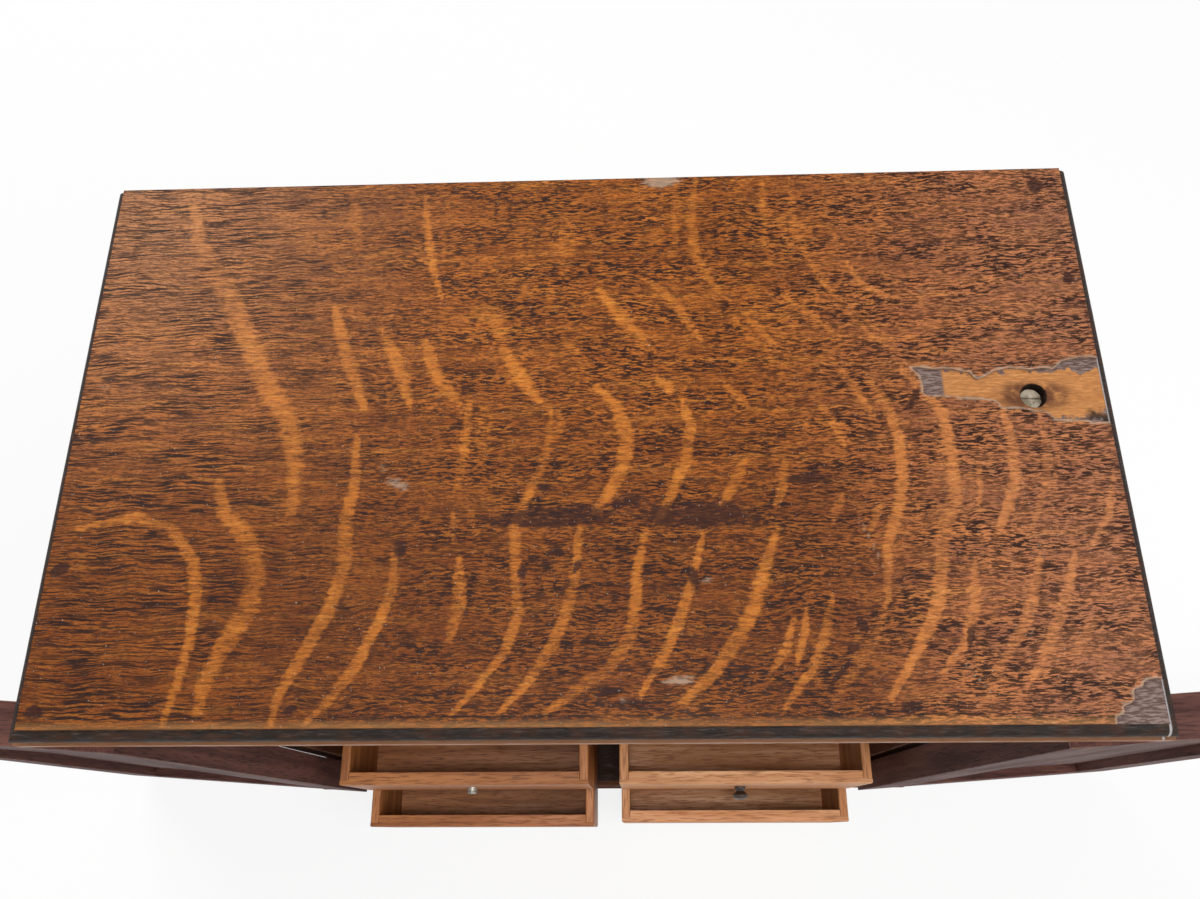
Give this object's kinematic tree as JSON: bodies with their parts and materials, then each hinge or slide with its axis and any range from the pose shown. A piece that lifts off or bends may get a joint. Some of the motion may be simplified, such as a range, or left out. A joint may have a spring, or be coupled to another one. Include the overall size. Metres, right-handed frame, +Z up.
{
  "type": "smoker's cabinet",
  "caption": "Small oak case on a moulded base, with a moulded top, framed doors on butt hinges, and short drawers under a shelf with a notched pipe rack.",
  "frame": {"origin": "centre of the underside of the base board", "axes": "+Z up, the front with its doors and drawers faces -Y, +X to the right seen from the front"},
  "size_m": [0.6388, 0.2421, 0.368],
  "materials": {
    "oak_moulded": "dark stained, moulded edge ebonised",
    "oak_veneer": "quarter-sawn, polished",
    "oak_plug": "matt",
    "oak_case": "stained and polished",
    "oak_interior": "stained",
    "oak_door": "stained and polished",
    "oak_panel": "stained and polished",
    "oak_drawer": "varnished",
    "oak_drawer_left": "varnished",
    "back_board": "matt",
    "brass": "tarnished",
    "steel_screw": "dull",
    "post_metal": "dull",
    "knob_wood": "ebonised"
  },
  "bodies": {
    "case": {"back_panel": "back_board", "base_board": "oak_moulded", "case_leaf_screws": "steel_screw", "case_screws": "steel_screw", "door_stop": "oak_interior", "dust_board": "oak_interior", "hinge_pins": "brass", "left_case_leaves": "brass", "left_side": "oak_case", "lower_divider": "oak_interior", "lower_left_guide": "oak_interior", "lower_right_guide": "oak_interior", "rack_ledge": "oak_interior", "rack_rail": "oak_interior", "right_case_leaves": "brass", "right_side": "oak_case", "shelf": "oak_interior", "top_board": "oak_moulded", "top_plugs": "oak_plug", "top_veneer": "oak_veneer", "upper_divider": "oak_interior", "upper_left_guide": "oak_interior", "upper_right_guide": "oak_interior"},
    "upper_left_drawer": {"upper_left_drawer_back": "oak_drawer_left", "upper_left_drawer_bottom": "oak_drawer_left", "upper_left_drawer_front": "oak_drawer_left", "upper_left_drawer_post": "post_metal", "upper_left_drawer_sides": "oak_drawer_left"},
    "upper_right_drawer": {"upper_right_drawer_back": "oak_drawer", "upper_right_drawer_bottom": "oak_drawer", "upper_right_drawer_front": "oak_drawer", "upper_right_drawer_knob": "knob_wood", "upper_right_drawer_sides": "oak_drawer"},
    "lower_left_drawer": {"lower_left_drawer_back": "oak_drawer_left", "lower_left_drawer_bottom": "oak_drawer_left", "lower_left_drawer_front": "oak_drawer_left", "lower_left_drawer_sides": "oak_drawer_left"},
    "lower_right_drawer": {"lower_right_drawer_back": "oak_drawer", "lower_right_drawer_bottom": "oak_drawer", "lower_right_drawer_front": "oak_drawer", "lower_right_drawer_sides": "oak_drawer"},
    "left_door": {"left_door_bottom_rail": "oak_door", "left_door_hinge_stile": "oak_door", "left_door_leaf_screws": "steel_screw", "left_door_leaves": "brass", "left_door_meeting_stile": "oak_door", "left_door_panel": "oak_panel", "left_door_top_rail": "oak_door"},
    "right_door": {"right_door_bottom_rail": "oak_door", "right_door_hinge_stile": "oak_door", "right_door_knob": "brass", "right_door_leaf_screws": "steel_screw", "right_door_leaves": "brass", "right_door_meeting_stile": "oak_door", "right_door_panel": "oak_panel", "right_door_top_rail": "oak_door"}
  },
  "joints": [
    {"name": "left_door_hinge", "type": "hinge", "parent": "case", "child": "left_door", "pos_m": [-0.1596, -0.0947, 0.184], "axis": [0, 0, 1], "range_deg": [0, 184]},
    {"name": "right_door_hinge", "type": "hinge", "parent": "case", "child": "right_door", "pos_m": [0.1596, -0.0947, 0.184], "axis": [0, 0, -1], "range_deg": [0, 184]},
    {"name": "upper_left_drawer_slide", "type": "slide", "parent": "case", "child": "upper_left_drawer", "axis": [0, 1, 0], "range_m": [0, 0.0438]},
    {"name": "upper_right_drawer_slide", "type": "slide", "parent": "case", "child": "upper_right_drawer", "axis": [0, 1, 0], "range_m": [0, 0.0438]},
    {"name": "lower_left_drawer_slide", "type": "slide", "parent": "case", "child": "lower_left_drawer", "axis": [0, 1, 0], "range_m": [0, 0.0641]},
    {"name": "lower_right_drawer_slide", "type": "slide", "parent": "case", "child": "lower_right_drawer", "axis": [0, 1, 0], "range_m": [0, 0.0619]}
  ],
  "couplings": [
    {"joint": "upper_left_drawer_slide", "follows": "left_door_hinge", "m_per_rad": 0.013639},
    {"joint": "upper_right_drawer_slide", "follows": "right_door_hinge", "m_per_rad": 0.013639},
    {"joint": "lower_left_drawer_slide", "follows": "left_door_hinge", "m_per_rad": 0.01996},
    {"joint": "lower_right_drawer_slide", "follows": "right_door_hinge", "m_per_rad": 0.019275}
  ]
}
